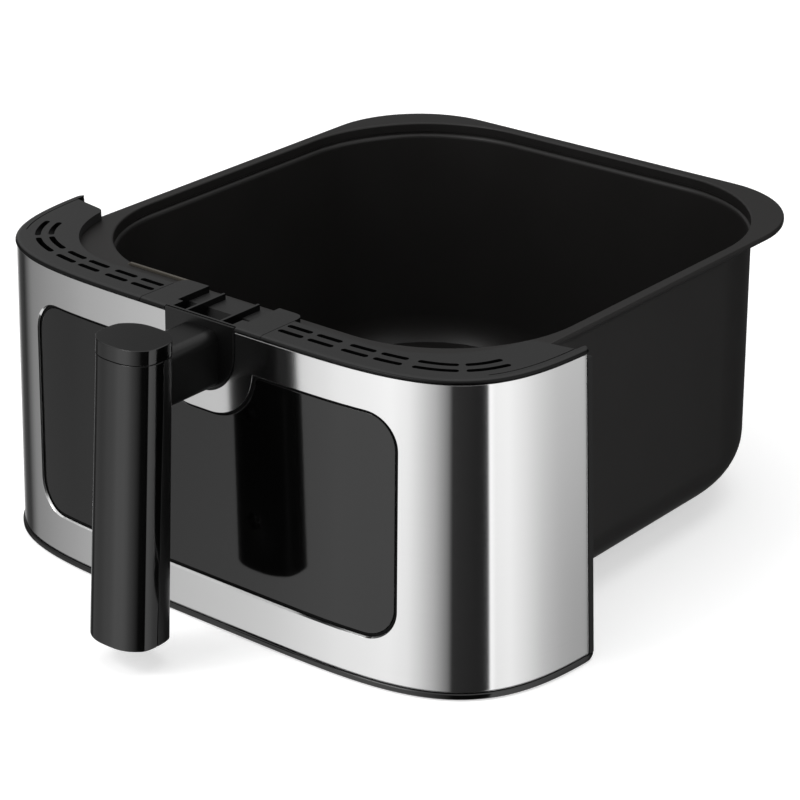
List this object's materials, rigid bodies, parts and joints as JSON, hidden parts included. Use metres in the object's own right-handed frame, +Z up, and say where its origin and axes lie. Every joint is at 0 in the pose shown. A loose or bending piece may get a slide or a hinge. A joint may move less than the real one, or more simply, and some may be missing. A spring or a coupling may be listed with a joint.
{
  "type": "air fryer drawer",
  "caption": "Pull-out drawer of a square-pan air fryer: coated pan with crisper plate, brushed-steel front with a gloss window, vent trims and an upright grip.",
  "frame": {"origin": "centre of the pan's underside, on the plane that the drawer rests on", "axes": "+X to the right seen from the front, +Y from the front panel back along the pan, +Z up"},
  "size_m": [0.3092, 0.3561, 0.1474],
  "materials": {
    "pan_coating": "non-stick coating on pressed steel, satin",
    "plate_coating": "non-stick coating on pressed steel, satin",
    "silicone": "moulded silicone, matt",
    "bracket_steel": "zinc-plated pressed steel",
    "panel_plastic": "moulded, fine texture",
    "brushed_skin": "stainless steel brushed along its width",
    "window_gloss": "polished, black",
    "gasket_rubber": "matt",
    "trim_plastic": "moulded, satin",
    "grip_gloss": "polished, black",
    "screw_steel": "zinc-plated"
  },
  "bodies": {
    "drawer": {"pan": "pan_coating", "pan_bracket": "bracket_steel", "panel_backing": "panel_plastic", "steel_skin": "brushed_skin", "window_insert": "window_gloss", "window_gasket": "gasket_rubber", "bottom_trim": "trim_plastic", "vent_trim_left": "trim_plastic", "vent_trim_right": "trim_plastic", "centre_cover": "trim_plastic", "handle_arm": "grip_gloss", "grip_front": "grip_gloss", "grip_cap": "grip_gloss", "panel_screw_1": "screw_steel", "panel_screw_2": "screw_steel", "panel_screw_3": "screw_steel", "panel_screw_4": "screw_steel", "handle_screw_1": "screw_steel", "handle_screw_2": "screw_steel", "grip_screw_1": "screw_steel", "grip_screw_2": "screw_steel", "trim_screw_left": "screw_steel", "trim_screw_right": "screw_steel"},
    "crisper": {"crisper_plate": "plate_coating", "bumper_right": "silicone", "bumper_back": "silicone", "bumper_left": "silicone", "bumper_front": "silicone"}
  },
  "joints": [
    {"name": "plate_lift", "type": "slide", "parent": "drawer", "child": "crisper", "axis": [0, 0, 1], "range_m": [0, 0.15]}
  ]
}
